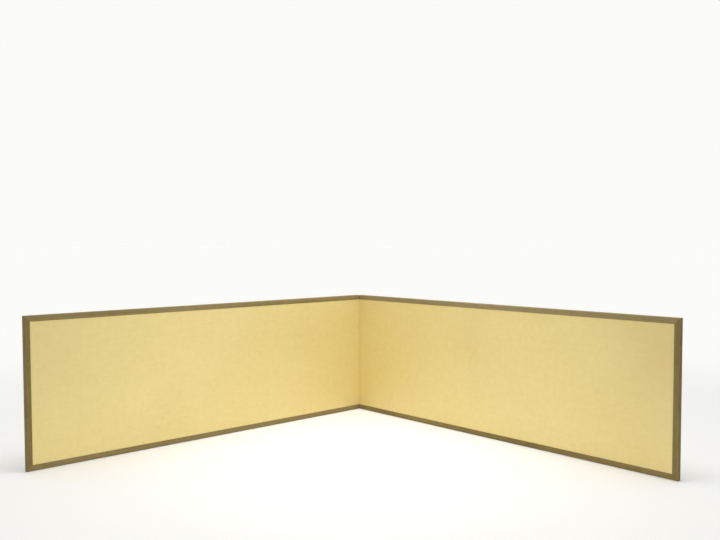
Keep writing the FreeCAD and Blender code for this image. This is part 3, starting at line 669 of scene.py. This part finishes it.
for side, word in SIDES:
    section = []
    for cs, cy, start in ((EDGE_IN - 0.04, 0.69, 270), (EDGE_IN - 0.04, 11.41, 0), (GAP + 0.14, 11.33, 90), (GAP + 0.14, 0.77, 180)):
        r = 0.04 if cs > 0.6 else 0.12
        section += [(cs + r * math.cos(math.radians(start + 90 * k / 4)), cy + r * math.sin(math.radians(start + 90 * k / 4))) for k in range(5)]
        if start == 90:
            section += [(GAP + 0.02 - 0.02 * math.sin(math.pi * k / 8), 11.33 - (11.33 - 0.77) * k / 8) for k in range(1, 8)]
    piece = strip_piece(word + "_edge_wrap", np.array(section), 1, CORE_LOW, CORE_HIGH, in_panel(side), 31 + side, TOUGH, TOUGH, 0.0)
    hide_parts(word + "_edge_paper")
    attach(piece, word + "_panel")

for i in range(WING_COUNT):
    low, high = CORE_LOW + PITCH * i + WING_SLIT / 2, CORE_LOW + PITCH * (i + 1) - WING_SLIT / 2
    odd = i % 2 == 0  # the left panel's front to the right panel's back
    side, body = (1, "wings_a") if odd else (-1, "wings_b")
    number = i + 1
    # the part between the creases, which lies along the panel's end
    line = np.stack([0.035 * np.sin(np.linspace(0, math.pi, 15)), np.linspace(0.44, 11.66, 15)], -1)
    section, half = ribbon_section(line, 0.2)
    down, up = (0.27 if i == 0 else 0.0), (0.27 if i == WING_COUNT - 1 else 0.0)
    piece = strip_piece("wing_%d_web" % number, section, half, low - down, high + up, in_panel(side), 40 + i, TOUGH, GOLD)
    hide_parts("hinge_wing_%d" % number)
    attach(piece, body)
    # the front crease, gold towards the viewer
    m = -1 if odd else 1
    section, half = ribbon_section(bent_line((m * 0.70, 0.14), (m * 0.06, -0.02), (-m * 0.366, 0.44), 11), 0.2)
    first, second = (TOUGH, GOLD) if odd else (GOLD, TOUGH)
    down, up = (0.28 if i == 0 else 0.24), (0.28 if i == WING_COUNT - 1 else 0.24)
    piece = strip_piece("wing_%d_front_crease" % number, section, half, low - down, high + up, about_fold, 60 + i, first, second)
    if odd:
        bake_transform(piece)
    else:
        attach(piece, "right_panel")
    # the back crease, onto the back paper
    section, half = ribbon_section(bent_line((0.0, 11.64), (0.02, 12.10), (0.66, 11.78), 11), 0.2)
    piece = strip_piece("wing_%d_back_crease" % number, section, half, low - 0.24, high + 0.24, in_panel(side), 80 + i, TOUGH, TOUGH)
    s_a, s_b = world(side, 0.0, 11.70, 0)[0], world(side, 0.42, 11.70, 0)[0]
    if odd:
        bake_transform(piece)
    else:
        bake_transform(piece)

# the paper between the ends of the rails, which closes the slit that their clearance leaves; its near-black colour is
# painted shadow, standing in for the shade in the joint where the rails meet
SHADOW_PAPER = tough_paper("stained_paper", dark=(0.060, 0.040, 0.016), light=(0.130, 0.092, 0.042))
for word, z0, z1 in (("bottom", 0.5, CORE_LOW - 0.02), ("top", CORE_HIGH + 0.02, HIGH - 0.5)):
    leg = [np.stack(turn(side, 0.02, np.array([0.10, 0.2, 0.32, 0.6, 1.0, 1.5])), -1) - (0, FOLD_Y) for side, _ in SIDES]
    curve = bent_line(leg[0][0], (0.0, 0.06), leg[1][0], 9)[1:-1]
    section, half = ribbon_section(np.concatenate([leg[0][::-1], curve, leg[1]]), 0.03)
    piece = strip_piece("rail_paper_" + word, section, half, z0, z1, about_fold, 97, SHADOW_PAPER, SHADOW_PAPER, 0.0, 0.0)
    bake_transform(piece)

# ---------------------------------------------------------------- the CAD nodes that stay

UNDER, PEG = layered_paper(), bamboo()
CEDAR = {}
for side, word in SIDES:
    for upright in (False, True):
        CEDAR[word, upright] = raw_wood("cedar_%s_%s" % (word, "up" if upright else "along"), upright, side, (0.44, 0.29, 0.15), (0.66, 0.50, 0.31))

for name, obj in frame["nodes"].items():
    if obj.hide_render:
        continue
    word = name.split("_")[0]
    if "pegs" in name:
        material, slot = PEG, "bamboo"
    elif "core" in name or "lattice" in name:
        material, slot = CEDAR[word, "stile" in name or "upright" in name], "core_cedar"
    elif "underpaper" in name:
        material, slot = UNDER, "under_paper"
    else:
        material, slot = UNDER, "hinge_paper"
    obj.data.materials.clear()
    obj.data.materials.append(material)

# ---------------------------------------------------------------- floor, light and camera


TO_FRONT = (-0.10, -0.995, 0.0)  # the less lit side of the studio, past the viewer
WALL, LAMP, SHADE = 0.965, 1.0, 0.30
FLOOR_LIT = 0.867  # what the wall and the lamp overhead give a level surface


def ranged(tree, source, low, high, to_low, to_high):
    node = tree.nodes.new("ShaderNodeMapRange")
    node.interpolation_type = "SMOOTHSTEP"
    tree.links.new(source, node.inputs["Value"])
    for key, value in (("From Min", low), ("From Max", high), ("To Min", to_low), ("To Max", to_high)):
        node.inputs[key].default_value = value
    return node.outputs["Result"]


def vector_math(tree, operation, source, other=None):
    node = tree.nodes.new("ShaderNodeVectorMath")
    node.operation = operation
    tree.links.new(source, node.inputs[0])
    if other is not None:
        node.inputs[1].default_value = other
    return node.outputs["Value"]


def floor():
    """A pale floor. Its colour is darker on the side past the viewer, painted shade to match the less lit side of the
    studio, and far off it glows, painted light that takes the tone of the wall of light behind it, so that no line
    shows between them.
    """
    p = Paint("stage_floor")
    coords = p.tree.nodes.new("ShaderNodeTexCoord").outputs["Object"]
    soft = p.noise(coords, 3.0, 2.0)
    near = p.mix(soft, (0.836, 0.838, 0.848), (0.848, 0.850, 0.860))
    length = vector_math(p.tree, "LENGTH", coords)
    away = ranged(p.tree, length, 0.4, 2.0, 0.0, 1.0)
    level = p.tree.nodes.new("ShaderNodeVectorMath")
    level.operation = "NORMALIZE"
    p.put(level.inputs[0], coords)
    # painted shade: the floor's colour darker on the side past the viewer
    front = ranged(p.tree, vector_math(p.tree, "DOT_PRODUCT", level.outputs["Vector"], TO_FRONT), 0.26, 0.62, 0.0, 1.0)
    front = p.math("MULTIPLY", front, ranged(p.tree, length, 0.7, 2.0, 0.0, 1.0))
    share = WALL * (1 - SHADE) / FLOOR_LIT
    p.set(Base_Color=p.mix(front, near, (share, share, share * 0.98)), Roughness=0.9)
    # painted light: far off the floor glows to the tone of the wall of light
    glow = p.math("MULTIPLY", p.math("MULTIPLY", away, p.math("SUBTRACT", 1.0, front)), WALL - 0.842 * FLOOR_LIT)
    p.set(Emission_Color=(1.0, 0.998, 0.965, 1), Emission_Strength=glow)
    p.shader.inputs["Specular IOR Level"].default_value = 0.1
    mesh = bpy.data.meshes.new("stage_floor")
    ring = [(70 * math.cos(2 * math.pi * k / 64), 70 * math.sin(2 * math.pi * k / 64), -0.0003) for k in range(64)]
    mesh.from_pydata(ring, [], [tuple(range(64))])
    mesh.materials.append(p.material)
    obj = bpy.data.objects.new("stage_floor", mesh)
    bpy.context.scene.collection.objects.link(obj)


def sky():
    """A pale studio: a white wall of light round the back, a soft light overhead, and darker past the viewer."""
    world_ = bpy.data.worlds.new("studio")
    world_.use_nodes = True
    tree = world_.node_tree
    tree.nodes.clear()
    out = tree.nodes.new("ShaderNodeOutputWorld")
    back = tree.nodes.new("ShaderNodeBackground")
    tree.links.new(back.outputs[0], out.inputs["Surface"])
    coords = tree.nodes.new("ShaderNodeTexCoord").outputs["Generated"]
    split = tree.nodes.new("ShaderNodeSeparateXYZ")
    tree.links.new(coords, split.inputs[0])

    def join(operation, a, b):
        node = tree.nodes.new("ShaderNodeMath")
        node.operation = operation
        for socket, value in zip(node.inputs, (a, b)):
            if isinstance(value, bpy.types.NodeSocket):
                tree.links.new(value, socket)
            else:
                socket.default_value = value
        return node.outputs[0]

    height = split.outputs["Z"]
    wall = ranged(tree, height, 0.42, 0.62, WALL, WALL * 0.72)
    lamp = ranged(tree, height, 0.90, 0.97, 0.0, LAMP)
    front = ranged(tree, vector_math(tree, "DOT_PRODUCT", coords, TO_FRONT), 0.26, 0.62, 0.0, 1.0)
    low = ranged(tree, height, 0.80, 0.25, 0.0, 1.0)
    shade = join("SUBTRACT", 1.0, join("MULTIPLY", join("MULTIPLY", front, low), SHADE))
    tree.links.new(join("ADD", join("MULTIPLY", wall, shade), lamp), back.inputs["Strength"])
    back.inputs["Color"].default_value = (1.0, 0.998, 0.965, 1)
    bpy.context.scene.world = world_


def softbox(name, power, size, spread, location, towards, colour=(1.0, 0.995, 0.98)):
    data = bpy.data.lights.new(name, "AREA")
    data.shape = "DISK"
    data.size = size
    data.spread = math.radians(spread)
    data.energy = power
    data.color = colour
    obj = bpy.data.objects.new(name, data)
    obj.location = location
    obj.rotation_euler = (Vector(towards) - Vector(location)).to_track_quat("-Z", "Y").to_euler()
    obj.visible_camera = False
    bpy.context.scene.collection.objects.link(obj)


floor()
sky()
softbox("overhead_softbox", 3.35, 0.8, 90, (0.12, -0.15, 1.40), (0.0, 0.0, 0.0))

camera = bpy.data.objects.new("camera", bpy.data.cameras.new("camera"))
camera.data.lens = 35.534
camera.data.sensor_width = 36.0
camera.data.clip_start = 0.05
camera.data.clip_end = 300.0
camera.location = (0.1037, -1.762239, 0.4892)
camera.rotation_euler = [math.radians(a) for a in (87.683328, 0.118634, 2.816458)]
bpy.context.scene.collection.objects.link(camera)
bpy.context.scene.camera = camera
bpy.context.scene.view_settings.view_transform = "Standard"
bpy.context.scene.view_settings.look = "None"
